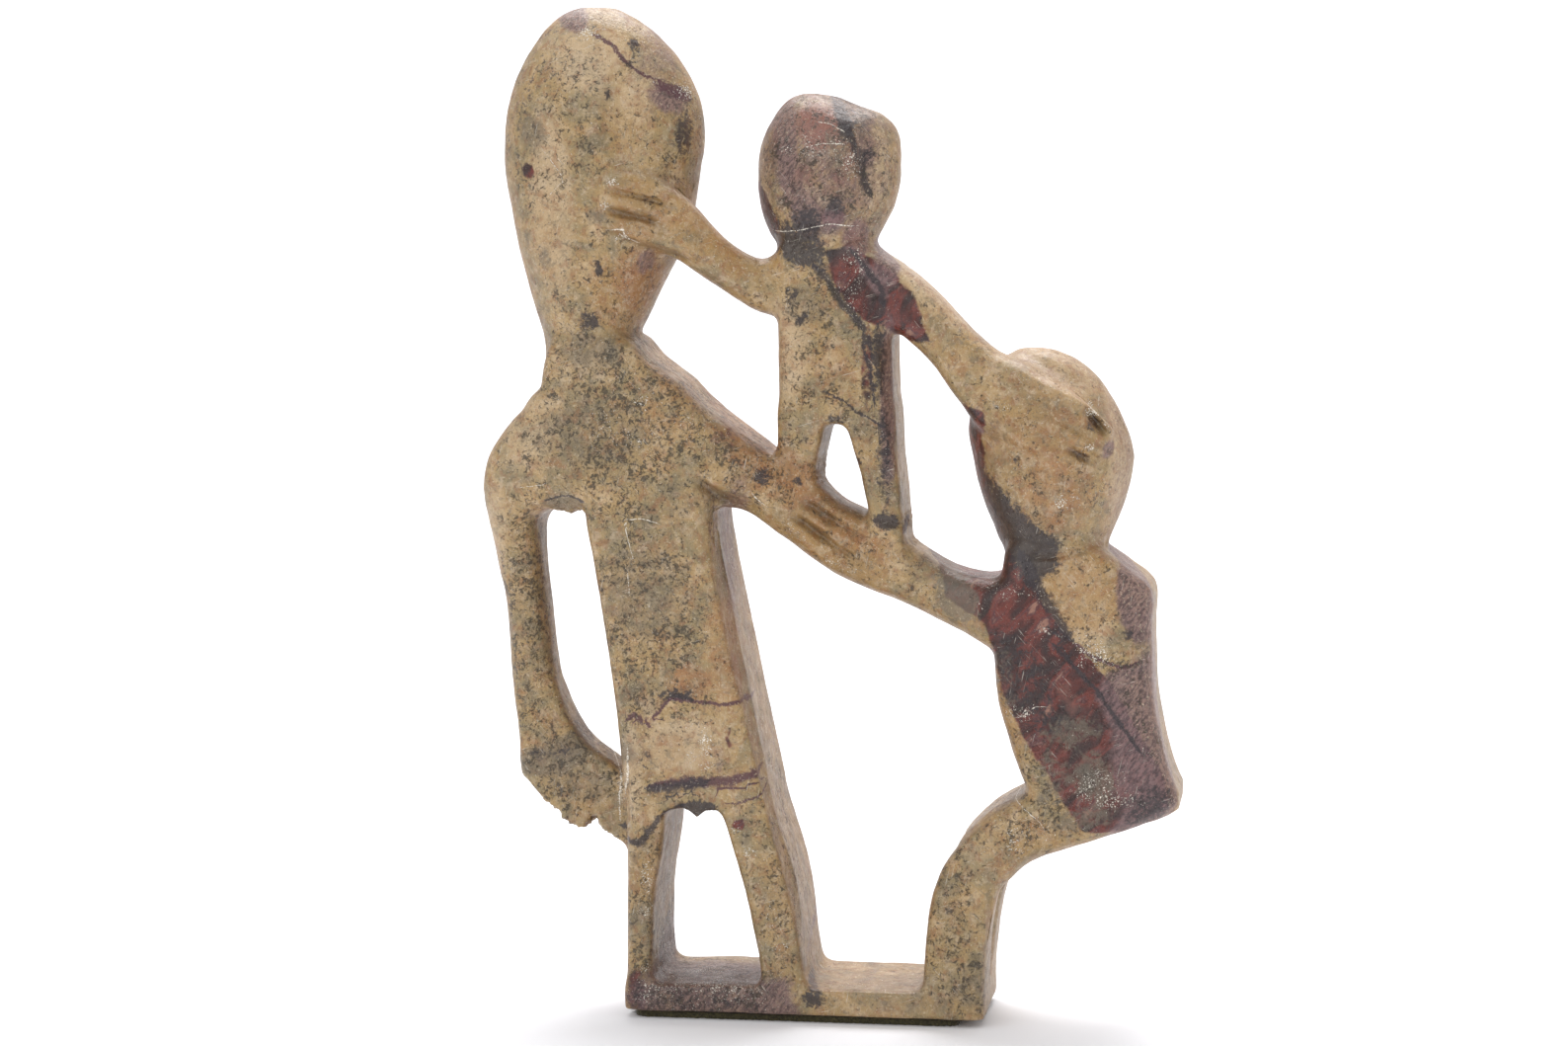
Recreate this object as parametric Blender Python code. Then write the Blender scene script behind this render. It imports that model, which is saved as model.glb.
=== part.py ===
"""A family group carved from one slab of veined soapstone, on a thin felt sole.

A tall figure and a kneeling one join hands. A child stands on their arms with a hand on each head.
The figures, their arms and the plinth are one piece of stone, and the felt glued under the plinth is the only
other piece. The front is -Y. The origin is on the surface that the group stands on, under the middle of its
width and depth.
"""

import math

import bmesh
import bpy
from mathutils import Vector

# Driving dimensions, in metres
FIGURE_HEIGHT = 0.290  # plinth top to the crown of the tall figure
SLAB_DEPTH = 0.045  # thickness of the slab that the group is cut from
PLINTH_HEIGHT = 0.008
PLINTH_HEEL_RADIUS = 0.005  # round of the lower corner under the kneeling figure
FELT_THICKNESS = 0.002
FELT_INSET = 0.0025  # felt edge to the plinth's edge
FELT_CORNER = 0.004
GLUE_GAP = 0.0003  # glue line between the felt and the stone

# How finely the stone is worked
CHISEL_STEP = 0.0011  # voxel size that welds the limbs into one stone
POLISH_PASSES = 12
STONE_TRIANGLES = 8600
CORNER_STEPS = 9  # points round each corner of a section
STEPS_PER_SPAN = 4  # sections from one named section to the next
EGG_STEPS = 7  # sections above, and below, the widest place of a head
ROUND_SEGMENTS = 4  # faces round the corners of the plinth and the felt
SOLE_TRIM = 0.003  # stone left under the sole until it is cut flat
FRONT_FACING = -0.25  # a point whose normal's Y is below this lies in the front face

STONE_COLOUR = (0.42, 0.29, 0.17)
STONE_ROUGHNESS = 0.3
FELT_COLOUR = (0.035, 0.035, 0.015)
FELT_ROUGHNESS = 0.95

# The figures are drawn on a grid that is 290 steps from the plinth to the tall crown, 1 mm at the real
# height. Half depths and forward places are shares of half the slab's depth.
GRID_HEIGHT = 290
GRID = FIGURE_HEIGHT / GRID_HEIGHT
HALF_SLAB = SLAB_DEPTH / 2
SOLE = FELT_THICKNESS + GLUE_GAP
PLINTH_TOP = SOLE + PLINTH_HEIGHT

# Heads are eggs: (x, z) of the crown, of the widest place and of the neck, then the half widths and half
# depths of the widest place and of the neck.
TALL_HEAD = ((-70.2, 290), (-68.4, 248), (-72.8, 190), (30, 13.8), (0.92, 0.72))
CHILD_HEAD = ((-2, 263.5), (-0.7, 241.5), (-1.8, 217.5), (21.4, 14.4), (0.84, 0.64))
KNEELING_HEAD = ((61, 188.9), (66, 159.5), (66.6, 129), (23.9, 14.4), (0.93, 0.76))

THROAT = 10  # how far a neck runs down into its trunk

# Trunks and legs are stacks of level sections: (x, z, half width, half depth).
TALL_TRUNK = [
    (-71, 192, 11.5, 0.66),
    (-67.6, 181, 17.2, 0.82),
    (-60.5, 171, 21, 0.91),
    (-56, 160, 21.5, 0.93),
    (-53.2, 146, 19.8, 0.93),
    (-51.5, 134, 19.2, 0.94),
    (-48, 115, 19.4, 0.94),
    (-42.6, 85, 20.3, 0.94),
    (-37.2, 51.6, 22.2, 0.94),
]
TALL_LEFT_LEG = [
    (-53.4, 56, 6.2, 0.90),
    (-54, 40, 5.2, 0.90),
    (-54.9, 26, 4.3, 0.90),
    (-55.1, 9, 4, 0.95),
    (-54.8, 1, 4.3, 1),
    (-54.6, -6, 4.8, 1),
]
TALL_RIGHT_LEG = [
    (-24.8, 57, 7.8, 0.92),
    (-19.7, 41, 7.6, 0.94),
    (-16, 26, 7.2, 0.94),
    (-12.8, 9, 6.7, 0.96),
    (-11.6, 1, 6.7, 1),
    (-10.6, -6, 6.8, 1),
]
CHILD_TRUNK = [
    (-1, 220, 12.5, 0.62),
    (0, 211, 16.6, 0.67),
    (1.5, 200, 16.6, 0.68),
    (2.2, 183, 16.7, 0.68),
    (2.8, 166.5, 17.5, 0.68),
]
CHILD_LEFT_LEG = [
    (-7.2, 172, 7.8, 0.66),
    (-8.6, 160, 6.1, 0.64),
    (-9.2, 143, 5, 0.62),
]
CHILD_RIGHT_LEG = [
    (11.6, 172, 8.6, 0.66),
    (14, 160, 6.6, 0.66),
    (16.5, 148, 5.4, 0.66),
    (18.8, 127, 4.8, 0.64),
]
KNEELING_TRUNK = [
    (66.5, 132, 13, 0.76),
    (70.4, 125.6, 18, 0.84),
    (73, 119, 22, 0.88),
    (73, 106, 23, 0.90),
    (73.8, 87, 23, 0.90),
    (77.8, 69, 22.8, 0.90),
    (83, 57, 21.8, 0.90),
]
# The kneeling figure's lower leg is split by a groove. Its front half, its web and its back half are made
# from these sections.
SHIN_FRONT = [
    (53, 48, 8.4, 0.37),
    (45.6, 37, 9.4, 0.38),
    (41.6, 26, 9.2, 0.41),
    (39.5, 14, 9, 0.45),
    (38.9, 3, 9.2, 0.51),
    (38.7, -6, 9.4, 0.51),
]
SHIN_SPLIT = 0.49  # how far forward and back of the middle the two halves lie
SHIN_BACK_SHIFT = 1.4  # how far right the back half starts at the knee
SHIN_WEB_WIDTH = 0.5  # share of the leg that the groove leaves whole

# Arms run along a line: (x, z, half width across the line, half depth, forward).
TALL_LEFT_ARM = [
    (-60, 166, 20, 0.93, 0),
    (-76.5, 158.8, 18.4, 0.93, 0),
    (-87, 152.8, 15, 0.88, 0),
    (-94, 145.2, 11.4, 0.76, 0),
    (-95.9, 137, 8.3, 0.60, 0),
    (-94.6, 128, 7.2, 0.48, 0),
    (-91.9, 111, 6.4, 0.42, 0),
    (-89.8, 94, 6.7, 0.42, 0),
    (-88.2, 82, 7.4, 0.42, 0),
]
TALL_LEFT_HAND = [
    (-88.8, 88, 6.6, 0.38),
    (-86, 76, 8.4, 0.41),
    (-83.4, 69.5, 10.6, 0.42),
    (-80, 64.5, 14.2, 0.42),
    (-75.6, 57, 17, 0.42),
    (-72, 50, 16, 0.42),
    (-69, 38, 15, 0.42),
]
TALL_RIGHT_ARM = [
    (-72, 186, 11.5, 0.80, 0),
    (-60.5, 176.4, 14.2, 0.91, 0),
    (-46, 163.8, 12.1, 0.92, 0),
    (-33, 155, 11.3, 0.88, 0),
    (-20, 147.2, 10.2, 0.74, 0),
    (-6, 139.2, 9.9, 0.66, 0),
    (6.3, 131, 9.5, 0.62, 0),
    (21.4, 123.2, 8.5, 0.60, 0),
    (33, 117.2, 7.6, 0.64, 0),
    (43.5, 113.4, 8.6, 0.78, 0),
    (51, 111.6, 10.4, 0.89, 0),
    (70, 108, 12, 0.91, 0),
]
CHILD_LEFT_ARM = [
    (-6, 206.6, 9.6, 0.62, 0.02),
    (-17.5, 206.6, 8.4, 0.50, 0.12),
    (-24, 208.8, 6.8, 0.42, 0.25),
    (-31, 213, 6.4, 0.36, 0.38),
    (-38.5, 219, 7.2, 0.30, 0.50),
    (-46, 225.3, 9.4, 0.22, 0.60),
    (-53.5, 229, 9.9, 0.19, 0.72),
    (-60.5, 231, 9.2, 0.16, 0.80),
    (-65, 232, 8, 0.13, 0.82),
]
CHILD_RIGHT_ARM = [
    (4, 212, 11.6, 0.66, 0.02),
    (16.5, 205.3, 9.2, 0.60, 0.10),
    (24.3, 199.8, 8, 0.54, 0.18),
    (35.4, 189.4, 7.4, 0.48, 0.30),
    (44, 181.2, 9, 0.42, 0.42),
    (54, 174, 11.4, 0.32, 0.60),
    (65, 168.5, 11.4, 0.20, 0.76),
    (75, 163.5, 9.6, 0.16, 0.79),
    (82, 159.5, 7.6, 0.14, 0.66),
]
KNEELING_THIGH = [
    (101.8, 62.4, 6.8, 0.88, 0),
    (94, 60, 9.2, 0.88, 0),
    (78, 55.2, 10.2, 0.88, 0),
    (63, 49.8, 9.8, 0.87, 0),
    (53.6, 44.8, 9.5, 0.86, 0),
    (47, 37.6, 9.4, 0.86, 0),
]

# Corner radius of each kind of section, in grid steps
TALL_CORNER = 4
LEG_CORNER = 2.6
ARM_CORNER = 6.5
CHILD_CORNER = 4
KNEELING_CORNER = 5

# Gouges left by the chisel in the front face: the grid places of the two ends, the width and the depth.
FINGER_GOUGES = [
    ((-6.5, 142.8), (3.1, 136), 3.4, 1.8),
    ((3.7, 135.4), (12.2, 130.8), 3, 1.2),
    ((-8.3, 137.6), (2, 129.8), 3.4, 1.8),
    ((2.6, 130.1), (10.5, 125.3), 3, 1.2),
    ((-67.5, 235.6), (-42, 230.2), 3.6, 1.3),
    ((-67, 228.6), (-46, 225.6), 3.6, 1.3),
    ((76.5, 172), (84.5, 162.2), 3.8, 1.6),
    ((73.5, 159.8), (84.5, 155.6), 3.6, 1.3),
]
# The broken edge of the hanging hand, from its outer corner to the leg
BROKEN_HAND = [
    (-100, 62),
    (-90.5, 58.2),
    (-86.4, 54.4),
    (-78.9, 45.9),
    (-73.9, 43.7),
    (-72.4, 47.8),
    (-70.2, 47.9),
    (-69, 44.4),
    (-66.8, 42.9),
    (-61, 39.4),
    (-61, 30),
    (-100, 30),
]


def clear_scene():
    for obj in list(bpy.data.objects):
        bpy.data.objects.remove(obj, do_unlink=True)


def egg(crown, widest, neck, half_widths, half_depths):
    """Level sections of a head: an ellipse above its widest place, and a long taper to the neck below it."""
    rows = []
    for k in range(1, EGG_STEPS + 1):
        angle = math.pi / 2 * k / EGG_STEPS
        rise = math.cos(angle)
        x = widest[0] + (crown[0] - widest[0]) * rise
        z = widest[1] + (crown[1] - widest[1]) * rise
        rows.append((x, z, half_widths[0] * math.sin(angle), half_depths[0] * math.sin(angle)))
    for k in range(1, EGG_STEPS + 1):
        t = k / EGG_STEPS
        swell = math.cos(math.pi / 2 * t)
        x = widest[0] + (neck[0] - widest[0]) * t**2
        z = widest[1] + (neck[1] - widest[1]) * t
        wide = half_widths[1] + (half_widths[0] - half_widths[1]) * swell
        deep = half_depths[1] + (half_depths[0] - half_depths[1]) * swell
        rows.append((x, z, wide, deep))
    x, z, wide, deep = rows[-1]
    rows.append((x, z - THROAT, wide, deep))
    return rows


def between(a, b, c, d, t):
    """A value on the smooth curve from b to c, whose neighbours are a and d."""
    bend = 2 * a - 5 * b + 4 * c - d
    twist = 3 * b - a - 3 * c + d
    return b + 0.5 * ((c - a) * t + bend * t**2 + twist * t**3)


def smooth_rows(rows):
    """More rows, on a smooth curve through the given ones."""
    last = len(rows) - 1
    made = []
    for step in range(last * STEPS_PER_SPAN + 1):
        span = min(step // STEPS_PER_SPAN, last - 1)
        t = step / STEPS_PER_SPAN - span
        near = [rows[min(max(span + k, 0), last)] for k in (-1, 0, 1, 2)]
        made.append(tuple(between(a, b, c, d, t) for a, b, c, d in zip(*near)))
    return made


def section(bm, middle, across, half_width, half_depth, radius_across, radius_deep):
    """A closed loop of points: a rounded rectangle that lies across the limb and along Y."""
    points = []
    for quarter in range(4):
        for k in range(CORNER_STEPS):
            angle = math.pi / 2 * (quarter + k / (CORNER_STEPS - 1))
            c, s = math.cos(angle), math.sin(angle)
            sign_c = 1 if quarter in (0, 3) else -1
            sign_s = 1 if quarter in (0, 1) else -1
            wide = sign_c * (half_width - radius_across) + radius_across * c
            deep = sign_s * (half_depth - radius_deep) + radius_deep * s
            points.append(bm.verts.new(middle + across * wide + Vector((0, deep, 0))))
    return points


def add_limb(bm, rows, corner, level):
    """A closed limb with a section at each row. Corner None makes the sections ellipses."""
    rows = smooth_rows([row if len(row) == 5 else row + (0,) for row in rows])
    middles = [Vector((x * GRID, 0, PLINTH_TOP + z * GRID)) for x, z, _, _, _ in rows]
    lines = [(b - a).normalized() for a, b in zip(middles, middles[1:])]
    along = [lines[0]] + [(a + b).normalized() for a, b in zip(lines, lines[1:])] + [lines[-1]]
    loops = []
    for middle, line, (_, _, wide, deep, forward) in zip(middles, along, rows):
        across = Vector((1, 0, 0)) if level else Vector((line.z, 0, -line.x))
        half_width, half_depth = wide * GRID, deep * HALF_SLAB
        radii = (half_width, half_depth)
        if corner is not None:
            radii = [min(corner * GRID, half_width, half_depth)] * 2
        middle = middle + Vector((0, -forward * HALF_SLAB, 0))
        loops.append(section(bm, middle, across, half_width, half_depth, *radii))
    count = len(loops[0])
    for a, b in zip(loops, loops[1:]):
        for k in range(count):
            nxt = (k + 1) % count
            bm.faces.new((a[k], a[nxt], b[nxt], b[k]))
    bm.faces.new(loops[0])
    bm.faces.new(loops[-1])


def add_figures(bm):
    for head in (TALL_HEAD, CHILD_HEAD, KNEELING_HEAD):
        add_limb(bm, egg(*head), None, True)
    add_limb(bm, TALL_TRUNK, TALL_CORNER, True)
    add_limb(bm, CHILD_TRUNK, CHILD_CORNER, True)
    add_limb(bm, KNEELING_TRUNK, KNEELING_CORNER, True)
    for leg in (TALL_LEFT_LEG, TALL_RIGHT_LEG, CHILD_LEFT_LEG, CHILD_RIGHT_LEG):
        add_limb(bm, leg, LEG_CORNER, True)
    for arm in (TALL_LEFT_ARM, TALL_RIGHT_ARM, CHILD_LEFT_ARM, CHILD_RIGHT_ARM, KNEELING_THIGH):
        add_limb(bm, arm, ARM_CORNER, False)
    add_limb(bm, TALL_LEFT_HAND, LEG_CORNER, True)
    front = [(x, z, wide, deep, SHIN_SPLIT) for x, z, wide, deep in SHIN_FRONT]
    web = [(x, z, wide * SHIN_WEB_WIDTH, deep, 0) for x, z, wide, deep in SHIN_FRONT]
    knee = SHIN_FRONT[0][1]
    back = [(x + SHIN_BACK_SHIFT * z / knee, z, wide, deep, -SHIN_SPLIT) for x, z, wide, deep in SHIN_FRONT]
    for half in (front, web, back):
        add_limb(bm, half, LEG_CORNER, True)


def plinth_ends():
    """The left and right ends of the plinth, which are flush with the outer feet."""
    left_x, _, left_half, _ = TALL_LEFT_LEG[-1]
    right_x, _, right_half, _ = SHIN_FRONT[-1]
    return (left_x - left_half) * GRID, (right_x + right_half) * GRID


def round_edges(bm, edges, radius):
    bmesh.ops.bevel(bm, geom=edges, offset=radius, segments=ROUND_SEGMENTS, profile=0.5, affect="EDGES")


def add_plinth(bm, bottom):
    left, right = plinth_ends()
    bmesh.ops.create_cube(bm, size=1)
    bm.verts.ensure_lookup_table()
    corners = bm.verts[-8:]
    for v in corners:
        v.co.x = left if v.co.x < 0 else right
        v.co.y *= SLAB_DEPTH
        v.co.z = bottom if v.co.z < 0 else PLINTH_TOP
    edges = {e for v in corners for e in v.link_edges}
    heel = [e for e in edges if all(v.co.x == right and v.co.z == bottom for v in e.verts)]
    round_edges(bm, heel, PLINTH_HEEL_RADIUS)


def mesh_object(name, bm):
    bmesh.ops.recalc_face_normals(bm, faces=bm.faces)
    mesh = bpy.data.meshes.new(name)
    bm.to_mesh(mesh)
    bm.free()
    obj = bpy.data.objects.new(name, mesh)
    bpy.context.scene.collection.objects.link(obj)
    return obj


def apply_modifiers(obj):
    """Turns what the modifiers make into the object's own mesh."""
    graph = bpy.context.evaluated_depsgraph_get()
    mesh = bpy.data.meshes.new_from_object(obj.evaluated_get(graph))
    obj.modifiers.clear()
    obj.data = mesh


def grid_point(x, z):
    return Vector((x * GRID, 0, PLINTH_TOP + z * GRID))


def carve_gouges(obj):
    """Presses each gouge into the front face, deepest along its middle."""
    for start, end, width, depth in FINGER_GOUGES:
        a, b = grid_point(*start), grid_point(*end)
        middle, along = (a + b) / 2, (b - a).normalized()
        across = Vector((along.z, 0, -along.x))
        half_length, half_width = (b - a).length / 2, width * GRID / 2
        for v in obj.data.vertices:
            offset = v.co - middle
            u, w = offset.dot(along) / half_length, offset.dot(across) / half_width
            if v.normal.y < FRONT_FACING and v.co.y < 0 and abs(u) < 1 and abs(w) < 1:
                v.co.y += depth * GRID * (1 - u * u) * (1 - w * w)


def broken_edge_cutter():
    bm = bmesh.new()
    reach = Vector((0, SLAB_DEPTH, 0))
    outline = [bm.verts.new(grid_point(x, z) - reach / 2) for x, z in BROKEN_HAND]
    face = bm.faces.new(outline)
    pulled = bmesh.ops.extrude_face_region(bm, geom=[face])["geom"]
    for v in pulled:
        if isinstance(v, bmesh.types.BMVert):
            v.co += reach
    cutter = mesh_object("broken_edge_cutter", bm)
    cutter.hide_render = True
    cutter.display_type = "WIRE"
    return cutter


def material(name, colour, roughness):
    made = bpy.data.materials.new(name)
    made.use_nodes = True
    shader = made.node_tree.nodes["Principled BSDF"]
    shader.inputs["Base Color"].default_value = (*colour, 1)
    shader.inputs["Roughness"].default_value = roughness
    shader.inputs["Metallic"].default_value = 0
    made.diffuse_color = (*colour, 1)
    return made


def stone_carving():
    bm = bmesh.new()
    add_figures(bm)
    add_plinth(bm, SOLE - SOLE_TRIM)
    obj = mesh_object("stone_carving", bm)
    weld = obj.modifiers.new("weld limbs", "REMESH")
    weld.mode = "VOXEL"
    weld.voxel_size = CHISEL_STEP
    polish = obj.modifiers.new("polish", "SMOOTH")
    polish.factor = 0.5
    polish.iterations = POLISH_PASSES
    apply_modifiers(obj)
    carve_gouges(obj)
    cutter = broken_edge_cutter()
    cut = obj.modifiers.new("broken hand", "BOOLEAN")
    cut.operation = "DIFFERENCE"
    cut.solver = "EXACT"
    cut.object = cutter
    apply_modifiers(obj)
    bpy.data.objects.remove(cutter, do_unlink=True)
    triangles = sum(len(face.vertices) - 2 for face in obj.data.polygons)
    thin = obj.modifiers.new("fewer faces", "DECIMATE")
    thin.ratio = STONE_TRIANGLES / triangles
    thin.use_collapse_triangulate = True
    apply_modifiers(obj)
    bm = bmesh.new()
    bm.from_mesh(obj.data)
    whole = list(bm.verts) + list(bm.edges) + list(bm.faces)
    cut = bmesh.ops.bisect_plane(bm, geom=whole, plane_co=(0, 0, SOLE), plane_no=(0, 0, -1), clear_outer=True)
    rim = [e for e in cut["geom_cut"] if isinstance(e, bmesh.types.BMEdge)]
    bmesh.ops.contextual_create(bm, geom=rim)
    bmesh.ops.recalc_face_normals(bm, faces=bm.faces)
    bm.to_mesh(obj.data)
    bm.free()
    obj.data.materials.append(material("waxed soapstone", STONE_COLOUR, STONE_ROUGHNESS))
    obj.data.shade_smooth()
    return obj


def felt_sole():
    left, right = plinth_ends()
    half_depth = HALF_SLAB - FELT_INSET
    bm = bmesh.new()
    bmesh.ops.create_cube(bm, size=1)
    for v in bm.verts:
        v.co.x = left + FELT_INSET if v.co.x < 0 else right - PLINTH_HEEL_RADIUS - FELT_INSET
        v.co.y = math.copysign(half_depth, v.co.y)
        v.co.z = 0 if v.co.z < 0 else FELT_THICKNESS
    upright = [e for e in bm.edges if abs(e.verts[0].co.z - e.verts[1].co.z) > FELT_THICKNESS / 2]
    round_edges(bm, upright, FELT_CORNER)
    obj = mesh_object("felt_sole", bm)
    obj.data.materials.append(material("olive felt", FELT_COLOUR, FELT_ROUGHNESS))
    return obj


def centre(pieces):
    """Moves the origin to the middle of the whole width and depth."""
    points = [v.co for obj in pieces for v in obj.data.vertices]
    for axis in (0, 1):
        values = [p[axis] for p in points]
        middle = (min(values) + max(values)) / 2
        for obj in pieces:
            obj.location[axis] = -middle


def main():
    clear_scene()
    centre([stone_carving(), felt_sole()])


main()
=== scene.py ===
"""The looks of a family group carved from one slab of veined soapstone, on a thin felt sole.

Lengths are in metres, or in millimetres where a name or a comment says so. A place on the front of the
stone is given in the photograph's own pixels, 1588 across and 1059 down, and on_face turns it into metres.
"""

import math
import random

import bpy
import numpy as np
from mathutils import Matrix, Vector
from mathutils.noise import turbulence


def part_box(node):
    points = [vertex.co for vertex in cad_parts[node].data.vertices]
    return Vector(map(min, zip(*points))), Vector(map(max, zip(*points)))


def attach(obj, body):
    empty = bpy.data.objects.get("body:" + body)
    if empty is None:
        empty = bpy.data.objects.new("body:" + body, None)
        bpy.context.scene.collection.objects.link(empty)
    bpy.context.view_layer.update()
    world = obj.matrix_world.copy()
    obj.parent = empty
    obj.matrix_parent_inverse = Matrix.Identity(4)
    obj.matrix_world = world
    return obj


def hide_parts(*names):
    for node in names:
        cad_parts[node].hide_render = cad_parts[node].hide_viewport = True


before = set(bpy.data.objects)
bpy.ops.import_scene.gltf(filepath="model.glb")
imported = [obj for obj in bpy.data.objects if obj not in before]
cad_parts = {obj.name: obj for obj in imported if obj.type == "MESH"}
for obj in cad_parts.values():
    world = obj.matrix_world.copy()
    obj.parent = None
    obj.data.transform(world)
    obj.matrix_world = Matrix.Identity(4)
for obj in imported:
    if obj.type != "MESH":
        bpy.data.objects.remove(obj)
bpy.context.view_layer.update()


# The view and the studio
# A stills camera a little to the right of the group and just above its middle. The group stands on a sweep
# of white paper in a light tent: white all round, with the strongest light from above and behind.

PHOTO_WIDTH, PHOTO_HEIGHT = 1588, 1059
FOCAL_PIXELS = 3734.6
FILM_WIDTH_MM = 36
CAMERA_TURN, CAMERA_RISE = math.radians(8.5), math.radians(5)
CAMERA_DISTANCE = 1.1
CAMERA_AIM = Vector((-0.0141, 0, 0.1464))
FACE_DEPTH = -0.0205  # how far forward the front of the stone lies
TENT_WHITE = 0.75
SWEEP_HALF = 1.6
SWEEP_RADIUS = 0.8

towards_camera = Vector((
    math.sin(CAMERA_TURN) * math.cos(CAMERA_RISE),
    -math.cos(CAMERA_TURN) * math.cos(CAMERA_RISE),
    math.sin(CAMERA_RISE),
))
camera_place = CAMERA_AIM + towards_camera * CAMERA_DISTANCE
facing = towards_camera.to_track_quat("Z", "Y")
bpy.ops.object.select_all(action="DESELECT")
bpy.ops.object.camera_add(location=camera_place, rotation=facing.to_euler())
camera = bpy.context.object
camera.data.sensor_width = FILM_WIDTH_MM
camera.data.lens = FOCAL_PIXELS / PHOTO_WIDTH * FILM_WIDTH_MM
camera.data.clip_start = 0.01
bpy.context.scene.camera = camera


def on_face(px, py):
    """Where a pixel of the photograph falls on the upright plane of the stone's front."""
    ray = Vector((px - PHOTO_WIDTH / 2, PHOTO_HEIGHT / 2 - py, -FOCAL_PIXELS))
    ray.rotate(facing)
    return camera_place + ray * ((FACE_DEPTH - camera_place.y) / ray.y)


def linear(colour):
    """A colour written as sRGB hex, as the linear values that a shader takes."""
    levels = [int(colour[k:k + 2], 16) / 255 for k in (1, 3, 5)]
    return [c / 12.92 if c <= 0.04045 else ((c + 0.055) / 1.055) ** 2.4 for c in levels] + [1]


def new_material(name):
    """An empty material with its shader, and the function that adds a node to it."""
    made = bpy.data.materials.new(name)
    made.use_nodes = True
    tree = made.node_tree

    def add(kind, inputs=(), output=0, **settings):
        """Adds a node with its settings and gives one output. An input that is such an output is linked."""
        fresh = tree.nodes.new("ShaderNode" + kind)
        for setting, value in settings.items():
            setattr(fresh, setting, value)
        for socket, value in (inputs if isinstance(inputs, dict) else dict(enumerate(inputs))).items():
            if isinstance(value, bpy.types.NodeSocket):
                tree.links.new(value, fresh.inputs[socket])
            else:
                fresh.inputs[socket].default_value = value
        return fresh.outputs[output]

    return made, tree.nodes["Principled BSDF"], add


def deselect_all():
    bpy.ops.object.select_all(action="DESELECT")


def switch(mode):
    bpy.ops.object.mode_set(mode=mode)


def select_edges(piece, chosen):
    """Goes into edit mode with only those edges selected whose two ends pass the test."""
    switch("EDIT")
    bpy.ops.mesh.select_mode(type="EDGE")
    bpy.ops.mesh.select_all(action="DESELECT")
    switch("OBJECT")
    for edge in piece.data.edges:
        edge.select = chosen(*(piece.data.vertices[v].co for v in edge.vertices))
    switch("EDIT")


def paper_sweep():
    """A sheet of paper that lies under the group and curves up behind it."""
    deselect_all()
    bpy.ops.mesh.primitive_plane_add(size=2 * SWEEP_HALF, location=(0, 0, 0))
    sweep = bpy.context.object
    sweep.name = "paper_sweep"
    select_edges(sweep, lambda a, b: min(a.y, b.y) > 0)
    bpy.ops.mesh.extrude_region_move(TRANSFORM_OT_translate={"value": (0, 0, 2 * SWEEP_HALF)})
    select_edges(sweep, lambda a, b: max(abs(a.z), abs(b.z)) < 0.001 < min(a.y, b.y))
    bpy.ops.mesh.bevel(offset=SWEEP_RADIUS, segments=24, affect="EDGES")
    switch("OBJECT")
    bpy.ops.object.shade_smooth()
    made, shader, add = new_material("white_paper")
    shader.inputs["Base Color"].default_value = linear("#f0f0f3")
    shader.inputs["Roughness"].default_value = 0.9
    grain = add("TexNoise", {"Vector": add("TexCoord", output="Object"), "Scale": 900})
    bump = add("Bump", {"Height": grain, "Strength": 0.05, "Distance": 0.0002})
    made.node_tree.links.new(bump, shader.inputs["Normal"])
    sweep.data.materials.append(made)
    return sweep


paper_sweep()

world = bpy.data.worlds.new("light_tent")
world.use_nodes = True
world.node_tree.nodes["Background"].inputs["Color"].default_value = (1, 1, 1, 1)
world.node_tree.nodes["Background"].inputs["Strength"].default_value = TENT_WHITE
bpy.context.scene.world = world
bpy.context.scene.view_settings.view_transform = "Standard"

# Each lamp: its place, the place it points at, its width and its power in watts.
SOFT_LAMPS = {
    "overhead_softbox": ((-0.05, 0.55, 1.2), (0, 0, 0.15), 1.0, 14),
    "front_left_lamp": ((-0.45, -1.15, 0.9), (0, 0, 0.15), 1.2, 5),
    "right_softbox": ((1.2, 0.2, 0.5), (0, 0, 0.15), 0.9, 1.2),
    "backdrop_softbox": ((0, 0.6, 2.0), (0, 1.5, 0.4), 1.4, 16),
}
for lamp_name, (lamp_place, lamp_target, lamp_width, watts) in SOFT_LAMPS.items():
    aim = Vector(lamp_place) - Vector(lamp_target)
    turned = aim.to_track_quat("Z", "Y").to_euler()
    bpy.ops.object.light_add(type="AREA", location=lamp_place, rotation=turned)
    lamp = bpy.context.object
    lamp.name = lamp_name
    lamp.data.size = lamp_width
    lamp.data.energy = watts


# The stone carving
# One slab of soapstone, sawn out and carved right through with chisels and rasps, rubbed down by hand and
# waxed. The grooves between fingers, the rasp's flats and the torn edges are as the tools left them.

PIXELS_PER_METRE = 3437  # on the front of the stone
SKIN_VOXEL = 0.00065  # how fine the stone's skin is before it is thinned
SKIN_PASSES = 12  # how often it is smoothed
WELD = 0.00001
SKIN_TRIANGLES = 192000
RASP_WAVE = 0.011  # width of the low waves that hand rubbing leaves
RASP_DEPTH = 0.0005
FRONT = -0.2  # a point whose normal's y is below this is on the front face
NUDGE_FADE = 1.5  # a nudge fades out at this many times its radius

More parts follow.
